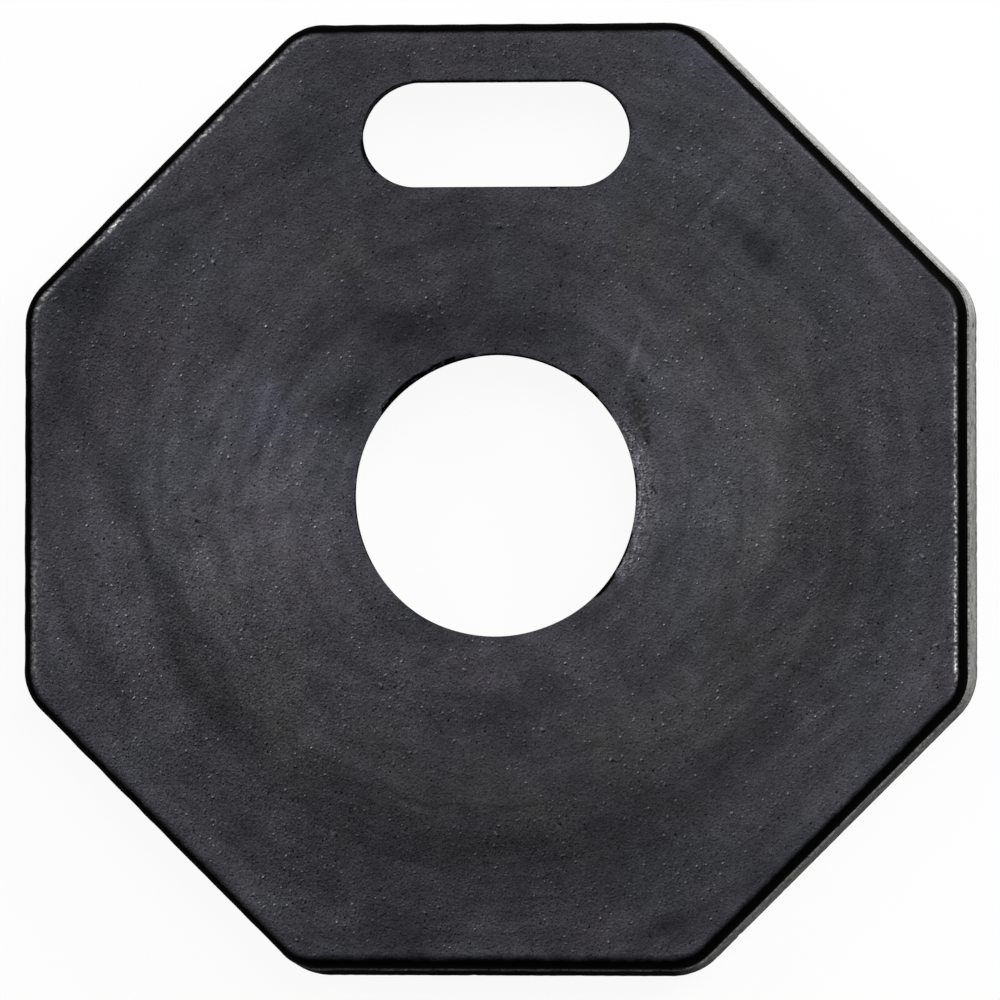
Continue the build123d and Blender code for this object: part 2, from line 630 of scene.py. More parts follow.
# %% [markdown]
# Between the specks the face only dips slowly, so a loose grid of points is enough. The grid is shaken a
# little, because a regular one would show in the light. Then the top and the hidden underside are filled,
# and the cover is done.

# %% Close the cover
ROW_STEP = 0.866
SHAKE = 0.2
CORNER = Vector((COVER_REACH, COVER_REACH))
for row in range(int(2 * COVER_REACH / (ROW_STEP * GRID))):
    for column in range(int(2 * COVER_REACH / GRID)):
        spot = Vector((column + 0.5 * (row % 2), ROW_STEP * row)) * GRID - CORNER
        place = spot + Vector((pick.uniform(-SHAKE, SHAKE), pick.uniform(-SHAKE, SHAKE))) * GRID
        if room_on_top(place) > 0.9 * MM and is_clear(place, 0.4 * MM):
            loose.append(add_top(place))
cover.fill(shoulder[0], [hole_lip[0], slot_lip[0]], loose)
cover.fill(shoulder[-1], [hole_lip[-1], slot_lip[-1]], [])
cover_piece = make_piece("moulded_cover", cover, sharp=50)

# %% [markdown]
# The ballast below is coarser crumb rubber. Its crumbs stand out as rounded cells and a few are torn out,
# which a cell pattern gives, and they are pushed into the rings so that the wall's outline is rough too.
# Dust is painted on, and how much differs by side as painted light: paler on the right and upper right
# sides, where the light falls, and bare black on the lower side, which is in shade. Some sides have a thin
# satin film that shows at a low angle. Near the ground the wall is painted darker as shade where it meets
# the floor, up to a height in millimetres.

# %% Crumb wall
ballast = Shell("dust_and_light", "hollow", "film")
CRUMB = 2.6 * MM
CRUMB_DEPTH, TORN_DEPTH = 0.14 * MM, 0.3 * MM
DUST_AND_LIGHT = (0.4, 0.5, 0.3, 0.2, 0.25, 0.15, 0.0, 0.45)
FILM = (0.42, 1.0, 0.1, 0.05, 0.05, 0.05, 0.0, 0.06)
FOOT_SHADE = (9.0, 2.5, 4.0, 4.0, 4.0, 4.0, 4.0, 5.0)
INNER_DUST = 0.15


def crumb(place):
    """How deep a point lies between crumbs, and how much of a torn-out crumb it is."""
    distances, centres = noise.voronoi(place / CRUMB)
    missing = 1.0 if noise.cell(centres[0] * 3.1) > 0.9 else 0.0
    return CRUMB_DEPTH * min(1, distances[0]) ** 2, missing * (1 - between(distances[0], 0.2, 0.75))


def wall_ring(outline, push, height, outside, depth=1.0):
    """One ring of crumbly wall, pushed out from its outline. Crumbs only ever take rubber away."""
    ring = []
    for place, outward in outline:
        flat = place + outward * push
        gap, torn = crumb(Vector((flat.x, flat.y, height)))
        loss = (gap + TORN_DEPTH * torn) * depth
        if outside:
            up = height / JOINT
            loss += up * wander(place, outward, LEDGE_SHORT) + (1 - up) * wander(place, outward, FOOT_SHORT)
        flat += outward * (-loss if outside else loss)
        # Painted shade near the ground, and dust with painted light by side.
        clear_of_foot_shade = between(height, 0, by_side(outward, FOOT_SHADE) * MM) if outside else 0
        dust_and_light = by_side(outward, DUST_AND_LIGHT) * clear_of_foot_shade if outside else INNER_DUST
        film = by_side(outward, FILM) * clear_of_foot_shade
        ring.append(ballast.add((flat.x, flat.y, height), dust_and_light=dust_and_light, film=film, hollow=torn * depth))
    return ring


print(f"crumbs of {CRUMB / MM:.1f} mm, up to {CRUMB_DEPTH / MM:.2f} mm deep between them")

# %% [markdown]
# A thin ledge runs where the mould halves met, with a wavering line of flash: rubber squeezed out between
# them. A thin separate strip could stand for it, but the real flash is one with the ledge, so two of its
# rings are pushed out by chance. The wall below leans out to the ground and rounds under at the foot.

# %% Ledge and outer wall
# The ledge's dust carries painted light: pale where light falls on it and nearly black on the sides in
# shade.
LEDGE_DUST_AND_LIGHT = (0.75, 0.95, 0.03, 0.02, 0.02, 0.05, 0.55, 0.58)
UNDER_COVER = 2.5 * MM
FLASH_HEIGHT, WALL_FROM = 0.35 * MM, 0.8 * MM
WALL_STEPS = 30
FOOT_TURNS = (30, 60, 90)
SPREAD = FOOT_REACH - COVER_REACH - LEDGE


def flash(place):
    """How far the line of flash stands out of the ledge."""
    runs = between(chance(place, 11 * MM, seed=14), 0.35, 0.75)
    return 0.2 * MM * runs + 0.08 * MM * chance(place, 2.5 * MM, seed=15)


def ledge_ring(push, height, with_flash):
    """One smooth ring of the ledge."""
    ring = []
    for place, outward in body_edge:
        flat = place + outward * (push - wander(place, outward, LEDGE_SHORT) + with_flash * flash(place))
        ring.append(ballast.add((flat.x, flat.y, height), dust_and_light=by_side(outward, LEDGE_DUST_AND_LIGHT)))
    return ring


outer = [ledge_ring(-UNDER_COVER, JOINT, 0), ledge_ring(0, JOINT, 1)]
outer.append(ledge_ring(0, JOINT - FLASH_HEIGHT, 1))
for step in range(WALL_STEPS + 1):
    height = JOINT - WALL_FROM + (FOOT_RADIUS - JOINT + WALL_FROM) * step / WALL_STEPS
    push = SPREAD * (JOINT - height) / (JOINT - FOOT_RADIUS)
    outer.append(wall_ring(body_edge, push, height, True))
for turn in FOOT_TURNS:
    lean, drop = math.cos(math.radians(turn)), math.sin(math.radians(turn))
    push, height = SPREAD - FOOT_RADIUS * (1 - lean), FOOT_RADIUS * (1 - drop)
    outer.append(wall_ring(body_edge, push, height, True, lean))
print("outer rings:", len(outer))

# %% [markdown]
# Inside, both openings widen towards the ground, so that the base pulls off the cores of its mould. The
# same crumbly rings make their walls, set back a little under the cover's lip, and the shell is closed
# above and below.

# %% Openings
OPENING_STEPS = 20


def opening_rings(outline):
    """Rings down the wall of an opening: flared by the mould's draft, then rounded into the underside."""
    flats = [place + outward * WALL_BACK for place, outward in outline]
    rings = [[ballast.add((flat.x, flat.y, JOINT), dust_and_light=INNER_DUST) for flat in flats]]
    for step in range(1, OPENING_STEPS + 1):
        height = JOINT + (FOOT_RADIUS - JOINT) * step / OPENING_STEPS
        rings.append(wall_ring(outline, WALL_BACK + (JOINT - height) * math.tan(DRAFT), height, False))
    for turn in FOOT_TURNS:
        lean, drop = math.cos(math.radians(turn)), math.sin(math.radians(turn))
        push = WALL_BACK + JOINT * math.tan(DRAFT) + FOOT_RADIUS * (1 - lean)
        rings.append(wall_ring(outline, push, FOOT_RADIUS * (1 - drop), False, lean))
    return rings


hole_wall, slot_wall = opening_rings(hole_edge), opening_rings(slot_edge)
for rings in (outer, hole_wall, slot_wall):
    ballast.bands(rings)
ballast.fill(outer[0], [hole_wall[0], slot_wall[0]], [])
ballast.fill(outer[-1], [hole_wall[-1], slot_wall[-1]], [])
ballast_piece = make_piece("crumb_ballast", ballast, sharp=60)

# %% [markdown]
# The imported model has one body, because nothing on this base moves. Both pieces ride on it, and each
# stands in for its solid, which is hidden. Changing the solids themselves would be shorter, but they are the
# shared frame.

# %% Dress the model
dressed = [(cover_piece, "top_cover", "cover_rubber"), (ballast_piece, "ballast_body", "ballast_rubber")]
for piece, node, slot in dressed:
    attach(piece, "root")
    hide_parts(node)
print("dressed:", ", ".join(node for piece, node, slot in dressed))

# %% [markdown]
# Materials are built from nodes. These helpers add a node and fill its inputs, with a value or with a
# link from another node, so that a long network stays readable. Tones are summed as they are made: a
# material this long could otherwise leave more values waiting than the renderer can hold.

# %% Node helpers
def fill_inputs(tree, node, inputs):
    """Fills a node's inputs with values, or with links where another node's output is given."""
    for name, value in inputs.items():
        if isinstance(value, bpy.types.NodeSocket):
            tree.links.new(value, node.inputs[name])
        else:
            node.inputs[name].default_value = value
    return node


def add(tree, kind, inputs=None, **settings):
    """Adds a shader node with its options and inputs."""
    made = tree.nodes.new("ShaderNode" + kind)
    for name, value in settings.items():
        setattr(made, name, value)
    return fill_inputs(tree, made, inputs or {})


def use(tree, group, inputs):
    """Adds a node group to a tree and returns its outputs."""
    return fill_inputs(tree, add(tree, "Group", node_tree=group), inputs).outputs


def calc(tree, operation, *values):
    """Adds a math node and returns its result."""
    return add(tree, "Math", dict(enumerate(values)), operation=operation).outputs[0]


def total(tree, values):
    """Adds values up."""
    result = values[0]
    for value in values[1:]:
        result = calc(tree, "ADD", result, value)
    return result


class ToneSum:
    """Running sum of effects on a tone."""

    def __init__(self, tree):
        self.tree, self.value = tree, 0.0

    def add(self, effect, strength=1.0):
        """Adds an effect times a strength."""
        self.value = calc(self.tree, "MULTIPLY_ADD", effect, strength, self.value)


print("node helpers ready")

# %% [markdown]
# A few more helpers stand for what painters do: step softly from one value to another, mix two colours,
# move or scale a place, and take a chance value.

# %% Paint helpers
def step_between(tree, value, low, high, start=0.0, end=1.0):
    """Smooth change from start to end as a value goes from low to high."""
    inputs = {"Value": value, "From Min": low, "From Max": high, "To Min": start, "To Max": end}
    return add(tree, "MapRange", inputs, interpolation_type="SMOOTHSTEP").outputs["Result"]


def mixed(tree, share, first, second):
    """Mixes two colours."""
    return add(tree, "Mix", {"Factor": share, 6: first, 7: second}, data_type="RGBA").outputs[2]


def scaled(tree, vector, amount):
    """A vector or colour times a number."""
    return add(tree, "VectorMath", {0: vector, "Scale": amount}, operation="SCALE").outputs[0]


def moved(tree, vector, amount):
    """A place moved by a vector."""
    return add(tree, "VectorMath", {0: vector, 1: amount}, operation="ADD").outputs[0]


def noise_at(tree, place, size, strength, detail=2.0, distortion=0.0):
    """Chance value around zero that changes over a size, times a strength."""
    inputs = {"Vector": place, "Scale": 1 / size, "Detail": detail, "Distortion": distortion}
    made = add(tree, "TexNoise", inputs)
    return calc(tree, "MULTIPLY_ADD", made.outputs["Fac"], strength, -0.5 * strength)


print("paint helpers ready")

# %% [markdown]
# The last helpers read what is painted on a piece, press a height into its surface, and start a material
# or a group. A group has named sockets, so that one effect can be placed in both rubbers with its own
# values.

# %% Materials and groups
def painted(tree, name):
    """Value painted on the points of a piece."""
    return add(tree, "Attribute", attribute_name=name).outputs["Fac"]


def pressed(tree, height, depth, strength):
    """Normal of a surface with a height pressed into it."""
    return add(tree, "Bump", {"Height": height, "Distance": depth, "Strength": strength}).outputs[0]


def new_material(name):
    """Starts a material and returns it with its tree and its shader."""
    material = bpy.data.materials.new(name)
    material.use_nodes = True
    return material, material.node_tree, material.node_tree.nodes["Principled BSDF"]


def new_group(name, inputs, outputs):
    """Starts a node group with named sockets."""
    tree = bpy.data.node_groups.new(name, "ShaderNodeTree")
    for label, kind in inputs:
        tree.interface.new_socket(label, in_out="INPUT", socket_type="NodeSocket" + kind)
    for label, kind in outputs:
        tree.interface.new_socket(label, in_out="OUTPUT", socket_type="NodeSocket" + kind)
    return tree, tree.nodes.new("NodeGroupInput").outputs, tree.nodes.new("NodeGroupOutput").inputs


print("material helpers ready")

# %% [markdown]
# Both rubbers share a fine grain, with painted light on it: the upper left side of each grain is painted
# pale as a highlight and the other side dark as its shade, so the tone is the difference between the noise
# at a place and a little further on, as in an embossed picture. It is bent by its square and its cube: most
# of the ground stays quiet, a few grains stand out, and the shaded sides most of all. The group returns that
# tone, around zero, and a height for the bump.

# %% Grain group
lit_grain, given, result = new_group(
    "Lit rubber grain", [("Place", "Vector"), ("Size", "Float")], [("Tone", "Float"), ("Height", "Float")])
scale = calc(lit_grain, "DIVIDE", 1.0, given["Size"])
onward = moved(lit_grain, given["Place"], scaled(lit_grain, (0.33, -0.53, 0.1), given["Size"]))
here, further = (
    add(lit_grain, "TexNoise", {"Vector": spot, "Scale": scale, "Detail": 0.6}).outputs["Fac"]
    for spot in (given["Place"], onward))
lit = calc(lit_grain, "ADD", further, calc(lit_grain, "MULTIPLY_ADD", here, -0.35, -0.325))
peaks = calc(lit_grain, "MULTIPLY_ADD", lit, calc(lit_grain, "MULTIPLY_ADD", lit, 14.0, -2.5), 1.0)
lit_grain.links.new(calc(lit_grain, "MULTIPLY", lit, peaks), result["Tone"])
lit_grain.links.new(here, result["Height"])
print("group", lit_grain.name, len(lit_grain.nodes), "nodes")

# %% [markdown]
# Specks finer than the modelled pimples come from a cell pattern: each cell holds a dot, and only the
# share of cells with the highest chance numbers shows it, the higher the stronger. A little noise bends
# the dots out of round. Modelling them too would take too many points.

# %% Speck group
specks, given, result = new_group(
    "Fine specks", [("Place", "Vector"), ("Size", "Float"), ("Share", "Float")], [("Mask", "Float")])
scale = calc(specks, "DIVIDE", 1.0, given["Size"])
finer = calc(specks, "MULTIPLY", scale, 2.5)
uneven = add(specks, "TexNoise", {"Vector": given["Place"], "Scale": finer, "Detail": 0.0})
uneven = scaled(specks, uneven.outputs["Color"], calc(specks, "MULTIPLY", given["Size"], 0.45))
cells = add(specks, "TexVoronoi", {"Vector": moved(specks, given["Place"], uneven), "Scale": scale})
dot = step_between(specks, cells.outputs["Distance"], 0.08, 0.34, 1.0, 0.0)
luck = add(specks, "SeparateColor", {0: cells.outputs["Color"]}).outputs[0]
above = calc(specks, "SUBTRACT", calc(specks, "ADD", luck, given["Share"]), 1.0)
above = calc(specks, "DIVIDE", above, given["Share"])
specks.links.new(calc(specks, "MULTIPLY", dot, calc(specks, "MAXIMUM", above, 0.0)), result["Mask"])
print("group", specks.name, len(specks.nodes), "nodes")

# %% [markdown]
# A stain or a worn area is a soft patch: an ellipse with a centre and two axes. Each axis is a direction
# divided by the patch's half size that way, so a place's distance along it is 1 at the patch's edge. A
# Mapping node could turn and scale the place too, but with this many patches that becomes too much for
# the renderer.

# %% Patch group
patch, given, result = new_group(
    "Soft patch",
    [("Place", "Vector"), ("Centre", "Vector"), ("Long axis", "Vector"), ("Wide axis", "Vector")],
    [("Mask", "Float")])
offset = add(patch, "VectorMath", {0: given["Place"], 1: given["Centre"]}, operation="SUBTRACT").outputs[0]
shares = [
    add(patch, "VectorMath", {0: offset, 1: given[axis]}, operation="DOT_PRODUCT").outputs["Value"]
    for axis in ("Long axis", "Wide axis")]
local = add(patch, "CombineXYZ", {"X": shares[0], "Y": shares[1]}).outputs[0]
far = add(patch, "VectorMath", {0: local}, operation="LENGTH").outputs["Value"]
patch.links.new(step_between(patch, far, 0.2, 1.2, 1.0, 0.0), result["Mask"])
print("group", patch.name, len(patch.nodes), "nodes")

# %% [markdown]
# The cover's rubber is black, with a thin grey bloom on its top face. As the mix flowed out from the
# middle of the mould it left rings and rays. A plain noise would look like clouds, so noise is read in
# ring coordinates: a direction and a distance from the axis.

# %% Cover coordinates
cover_rubber, tree, shader = new_material("bloomed_cover_rubber")
place = add(tree, "TexCoord").outputs["Object"]
split = add(tree, "SeparateXYZ", {0: place}).outputs
level = add(tree, "CombineXYZ", {"X": split["X"], "Y": split["Y"]}).outputs[0]
away = add(tree, "VectorMath", {0: level}, operation="LENGTH").outputs["Value"]
facing = add(tree, "VectorMath", {0: level}, operation="NORMALIZE").outputs[0]


def ring_place(turn_size, reach_size, shift=0.0):
    """Coordinates that change by one over a turn size round the axis and over a reach size away from it."""
    reach = calc(tree, "MULTIPLY_ADD", away, 1 / reach_size, shift)
    reach = add(tree, "CombineXYZ", {"Z": reach}).outputs[0]
    return moved(tree, scaled(tree, facing, 1 / turn_size), reach)


def arc_mark(radius, width, middle, spread, wobble):
    """Mask of an arc round the axis: its radius and half width, its middle and half spread in degrees."""
    off = calc(tree, "ABSOLUTE", calc(tree, "SUBTRACT", calc(tree, "ADD", away, wobble), radius))
    toward = direction(math.radians(middle)).to_3d()
    turn = add(tree, "VectorMath", {0: facing, 1: toward}, operation="DOT_PRODUCT").outputs["Value"]
    ends = math.cos(math.radians(spread)), math.cos(math.radians(0.7 * spread))
    band = step_between(tree, off, 0.0, width, 1.0, 0.0)
    return calc(tree, "MULTIPLY", band, step_between(tree, turn, *ends))


print("ring coordinates ready in", cover_rubber.name)

# %% [markdown]
# The tone of the bloom is a sum of effects around zero, so pale and dark balance. The flow gives the
# first ones: slow clouds, rings of several widths and rays, then three dark arcs where the flow slowed
# down. To the right of the bore, posts have scuffed the face into pale streaks that run round it.

# %% Flow marks
tones = ToneSum(tree)
tones.add(noise_at(tree, level, 34 * MM, 0.5, distortion=0.8))
tones.add(noise_at(tree, ring_place(0.5, 14 * MM), 1.0, 0.5, detail=1.0, distortion=0.3))
tones.add(noise_at(tree, ring_place(0.3, 6 * MM, shift=9.0), 1.0, 0.42, detail=1.0))
tones.add(noise_at(tree, level, 11 * MM, 0.6, detail=1.0, distortion=0.8))
tones.add(noise_at(tree, ring_place(0.45, 4.5 * MM, shift=3.0), 1.0, 0.38, detail=1.0, distortion=0.6))
tones.add(noise_at(tree, ring_place(0.08, 60 * MM, shift=5.0), 1.0, 0.3, detail=1.0))
wobble = noise_at(tree, level, 45 * MM, 22 * MM)
tones.add(arc_mark(147 * MM, 24 * MM, 275, 115, wobble), -0.28)
tones.add(arc_mark(149 * MM, 6 * MM, 203, 26, wobble), -0.22)
tones.add(arc_mark(130 * MM, 1.5 * MM, 255, 30, wobble), -0.18)
scuffed = arc_mark(60 * MM, 11 * MM, -1, 38, noise_at(tree, level, 9 * MM, 5 * MM))
streaks = noise_at(tree, ring_place(0.07, 1.3 * MM), 1.0, 1.0, detail=1.0)
tones.add(scuffed, step_between(tree, streaks, -0.1, 0.14, 0.1, 0.95))
print("flow marks:", len(tree.nodes), "nodes so far")

# %% [markdown]
# Stains and worn areas lie where the base was handled and where dirty water dried. Painting them by hand
# would need an image, so each is a row for a soft patch. The places are bent by noise first, much for
# broad marks and a little for small ones, so no edge is a clean ellipse.

# %% Soft patches
warp = add(tree, "TexNoise", {"Vector": level, "Scale": 1 / (45 * MM), "Detail": 3.0})
bending = moved(tree, warp.outputs["Color"], (-0.5, -0.5, -0.5))


def bent(amount):
    """Places on the top face, bent by chance by up to about half an amount."""
    spot = moved(tree, level, scaled(tree, bending, amount))
    return add(tree, "VectorMath", {0: spot, 1: (1, 1, 0)}, operation="MULTIPLY").outputs[0]


def patch_at(where, x, y, long, wide, turn):
    """Mask of one soft patch, in millimetres and degrees."""
    along = direction(math.radians(turn)) / (long * MM)
    across = direction(math.radians(turn + 90)) / (wide * MM)
    return use(tree, patch, {
        "Place": where,
        "Centre": (x * MM, y * MM, 0),
        "Long axis": along.to_3d(),
        "Wide axis": across.to_3d(),
    })["Mask"]


stained, faint = bent(60 * MM), bent(12 * MM)
print("patches are bent by noise:", len(tree.nodes), "nodes so far")

# %% [markdown]
# Broad marks set the tone of whole areas: paler to the left and right of the bore, where the bloom is
# thick, and darker below the slot and along the lower side, where it was handled.

# %% Broad marks
BROAD_MARKS = [
    # x, y, half length, half width, turn in degrees, change of tone
    (-114, -4, 86, 70, 0, 0.50),
    (88, 22, 58, 76, 0, 0.38),
    (115, 128, 80, 42, -45, 0.06),
    (-105, 115, 60, 40, 45, 0.10),
    (-20, 64, 66, 30, 10, -0.28),
    (-180, 70, 32, 62, 0, -0.22),
    (-10, -148, 110, 42, 0, -0.30),
    (-60, 130, 50, 34, 0, -0.16),
    (95, 60, 24, 18, 0, -0.15),
    (122, 112, 28, 24, 0, -0.16),
    (15, 103, 66, 14, 0, -0.18),
    (-70, 156, 30, 24, 0, -0.18),
    (-62, 184, 44, 14, 0, -0.20),
    (0, -88, 32, 18, 0, -0.32),
    (-20, 101, 16, 12, 0, -0.22),
    (62, -122, 16, 12, 0, -0.16),
    (-178, 86, 16, 14, 0, -0.22),
    (-81, -160, 20, 14, 0, -0.18),
    (90, -28, 22, 18, 0, -0.16),
    (-25, -132, 54, 18, 0, 0.14),
    (84, -138, 30, 16, 30, -0.18),
    (-45, -184, 36, 11, 0, -0.40),
    (182, 8, 12, 30, 0, -0.33),
    (98, 144, 22, 14, -40, 0.20),
    (-184, -58, 9, 22, 0, 0.22),
    (110, -38, 46, 30, 0, 0.14),
    (0, -66, 66, 16, 0, 0.20),
    (151, 66, 26, 42, -10, 0.10),
    (-147, -44, 20, 42, 8, 0.11),
]
for *spot, change in BROAD_MARKS:
    tones.add(patch_at(stained, *spot), change)
print("broad marks:", len(BROAD_MARKS))

# %% [markdown]
# Small marks are single stains, scrapes and rubbed lines. The thin ones are nothing else than very long
# patches.

# %% Small marks
SMALL_MARKS = [
    # x, y, half length, half width, turn in degrees, change of tone
    (-14, 72, 60, 13, 0, -0.20),
    (-40, 71, 24, 11, -5, -0.38),
    (-63, 40, 16, 11, 15, -0.45),
    (-166, 16, 48, 9, -65, -0.30),
    (-124, -140, 60, 12, -45, 0.16),
    (-98, -172, 22, 10, -45, 0.20),
    (170, -76, 40, 16, 45, 0.20),
    (109, 103, 14, 9, -60, -0.36),
    (-127, -55, 46, 5, -57, -0.30),
    (-106, -96, 22, 9, -50, -0.20),
    (90, 121, 15, 2.4, 45, 0.32),
    (56.6, 57, 17, 2.4, 74, 0.45),
    (-97, 34, 16, 15, 0, 0.18),
    (-9, 119, 55, 9, 0, -0.15),
    (70, -183, 20, 10, 20, -0.50),
    (69, -187, 11, 3, 30, 0.35),
    (-167, 98, 32, 13, 45, -0.35),
    (44, 70, 14, 16, 0, 0.30),
    (63.5, 23, 3.2, 0.9, -65, -0.90),
    (68, 1.5, 3.0, 0.8, -50, -0.90),
    (-184, 80, 9, 15, 0, -0.12),
    (-121, 0, 13, 12, 0, -0.16),
    (-121, -101, 15, 10, 0, -0.18),
    (-82, 143, 11, 5, 30, -0.25),
    (-132, 123, 30, 2.6, 20, -0.30),
    (140, -124, 40, 9, 45, 0.15),
]
for *spot, change in SMALL_MARKS:
    tones.add(patch_at(faint, *spot), change)
print("small marks:", len(SMALL_MARKS))

# %% [markdown]
# Beside the bore is a dark rubbed smudge, broken up by the grain below it. In four areas the bloom was
# wiped: there a noise stretched along the strokes shows, as strong as the patch it lies in.

# %% Smudge and wiped strokes
smudge = patch_at(faint, 60, 33, 18, 3.8, -67)
broken = step_between(tree, noise_at(tree, level, 1.8 * MM, 1.0), -0.06, 0.05, 0.15, 1.0)
smudge = calc(tree, "MULTIPLY", smudge, broken)
tones.add(smudge, -0.85)
STROKE = (40 * MM, 5 * MM, 1.0)
WIPED = [
    # x, y, half length, half width, turn of the patch, turn of the strokes, strength
    (-102, 30, 64, 60, 0, 62, 0.8),
    (132, -62, 62, 50, 45, 40, 1.1),
    (100, 118, 60, 40, -45, 50, 0.6),
    (-40, -125, 70, 34, 0, -20, 0.5),
]
for *spot, turn, strength in WIPED:
    inputs = {"Vector": level, "Rotation": (0, 0, math.radians(turn)), "Scale": STROKE}
    strokes = add(tree, "Mapping", inputs, vector_type="TEXTURE").outputs[0]
    tones.add(noise_at(tree, strokes, 1.0, strength, detail=1.0), patch_at(stained, *spot))
print("wiped areas:", len(WIPED))

# %% [markdown]
# Now the fine finish. The grain group is placed with its own size, and is stronger in a few rough areas and
# where posts scuffed. Fine pale specks lie in clusters as painted highlights, each with a painted shadow a
# little to the lee, among darker dots. The painted values add the light and shade of the modelled specks and
# the glinting line, a painted highlight which breaks up into pearls and runs.

# %% Grain, specks and glint
COVER_GRAIN = 0.75 * MM
SPECK_SIZE, DARK_DOT_SIZE = 2.1 * MM, 1.7 * MM
ROUGHER = [
    # x, y, half length, half width, turn in degrees, how much stronger the grain is
    (-126, -80, 110, 90, 0, 0.80),
    (-20, -160, 120, 40, 0, 0.50),
    (158, 5, 44, 70, 0, 0.30),
    (-164, 60, 40, 56, 0, 0.50),
]
grained = use(tree, lit_grain, {"Place": place, "Size": COVER_GRAIN})
coarse = ToneSum(tree)
coarse.add(scuffed, 1.4)
coarse.add(1.45)
for *spot, more in ROUGHER:
    coarse.add(patch_at(stained, *spot), more)
tones.add(grained["Tone"], coarse.value)
clusters = step_between(tree, noise_at(tree, level, 14 * MM, 1.0), -0.08, 0.22, 0.1, 0.55)
painted_light = use(tree, specks, {"Place": place, "Size": SPECK_SIZE, "Share": clusters})["Mask"]
# The specks are read again a little to the upper left, so each has a painted shadow to its lower right.
shadow_place = moved(tree, place, (-0.4 * MM, 0.6 * MM, 0))
painted_shadow = use(tree, specks, {"Place": shadow_place, "Size": SPECK_SIZE, "Share": clusters})["Mask"]
dark_dots = use(tree, specks, {"Place": shadow_place, "Size": DARK_DOT_SIZE, "Share": clusters})["Mask"]
tones.add(painted_light, 1.25)
tones.add(painted_shadow, -1.2)
tones.add(dark_dots, -0.5)
# Light and shade painted on the modelled specks.
speck = painted(tree, "speck")
tones.add(speck, 2.7)
tones.add(calc(tree, "MINIMUM", speck, 0.0), 0.9)
# The glint line is a painted highlight along the shoulder.
glint = painted(tree, "glint")
pearls = step_between(tree, noise_at(tree, place, 1.8 * MM, 1.0, detail=1.0), -0.14, 0.12, 0.2, 1.3)
runs = step_between(tree, noise_at(tree, place, 30 * MM, 1.0, detail=1.0), -0.15, 0.1, 0.5, 1.1)
glint = calc(tree, "MULTIPLY", glint, calc(tree, "MULTIPLY", pearls, runs))
tones.add(glint, 1.7)
print("fine finish:", len(tree.nodes), "nodes so far")

# %% [markdown]
# The grey isn't quite neutral: it drifts from a cool to a warmer violet, with olive where the flow slowed
# and cream where rubber is rubbed bare and along the painted highlight line. Tints are near 1 in each
# channel and multiply the bloom.

# %% Cover tint
WARM, COOL = (1.025, 0.975, 1.165, 1), (0.965, 1.0, 1.175, 1)
OLIVE, VIOLET, CREAM = (1.005, 0.995, 1.045, 1), (1.0, 0.965, 1.36, 1), (1.02, 1.0, 0.99, 1)
OLIVE_SPOTS = ((-66, 103, 34, 12, 20), (65, 112, 13, 26, 0), (88, 85, 12, 12, 0))
VIOLET_SPOTS = ((-97, 34, 16, 15, 0), (-72, 32, 9, 5, 0), (86, 183, 26, 9, -45))
cool = noise_at(tree, level, 60 * MM, 1.0, detail=3.0)
cool = calc(tree, "MULTIPLY_ADD", patch_at(stained, 90, 110, 120, 80, -45), 0.12, cool)
tint = mixed(tree, step_between(tree, cool, -0.12, 0.18), WARM, COOL)
olive_arc = arc_mark(126 * MM, 54 * MM, 297, 124, noise_at(tree, level, 40 * MM, 60 * MM, detail=3.0))
olive_share = step_between(tree, noise_at(tree, level, 36 * MM, 1.0), -0.14, 0.1, 0.3, 1.0)
tint = mixed(tree, calc(tree, "MULTIPLY", olive_arc, olive_share), tint, OLIVE)
for spot in OLIVE_SPOTS:
    tint = mixed(tree, calc(tree, "MULTIPLY", patch_at(stained, *spot), 0.9), tint, OLIVE)
for spot in VIOLET_SPOTS:
    tint = mixed(tree, calc(tree, "MULTIPLY", patch_at(faint, *spot), 0.6), tint, VIOLET)
tint = mixed(tree, smudge, tint, CREAM)
tint = mixed(tree, calc(tree, "MULTIPLY", scuffed, 0.4), tint, OLIVE)
tint = mixed(tree, glint, tint, CREAM)
print("tints:", len(OLIVE_SPOTS) + len(VIOLET_SPOTS), "spots on a drifting grey")

# %% [markdown]
# The bloom's grey is raised or lowered by the tone, as a power so that it never turns negative. The painted
# black, black rubber and painted shade on the shoulder, lips and inner walls, then covers it towards the
# shoulder, with an uneven edge, and the painted highlight line holds it back. The satin of the grey is a
# thin coat that fades out on the black, because a glossy shader all over would make the shoulder look wet.

# %% Cover finish
BLOOM = 0.0445
SHADE_AND_RUBBER_BLACK = (0.0013, 0.0013, 0.0014, 1)
bloom = scaled(tree, tint, calc(tree, "MULTIPLY", calc(tree, "EXPONENT", tones.value), BLOOM))
black_and_shade = painted(tree, "black_and_shade")
ragged = noise_at(tree, place, 5 * MM, 1.2, detail=3.0)
black_and_shade = total(tree, [black_and_shade, ragged, calc(tree, "MULTIPLY", glint, -1.2)])
black_and_shade = step_between(tree, black_and_shade, -1.0, 1.0)
fill_inputs(tree, shader, {
    "Base Color": mixed(tree, black_and_shade, bloom, SHADE_AND_RUBBER_BLACK),
    "Coat Weight": calc(tree, "MULTIPLY_ADD", black_and_shade, -0.17, 0.2),
    "Coat Roughness": 0.4,
    "Coat IOR": 1.3,
    "Specular IOR Level": 0.0,
    "Roughness": 0.6,
    "Normal": pressed(tree, grained["Height"], 0.25 * MM, 0.6),
})
cover_piece.data.materials.append(cover_rubber)
print("material", cover_rubber.name, len(tree.nodes), "nodes")

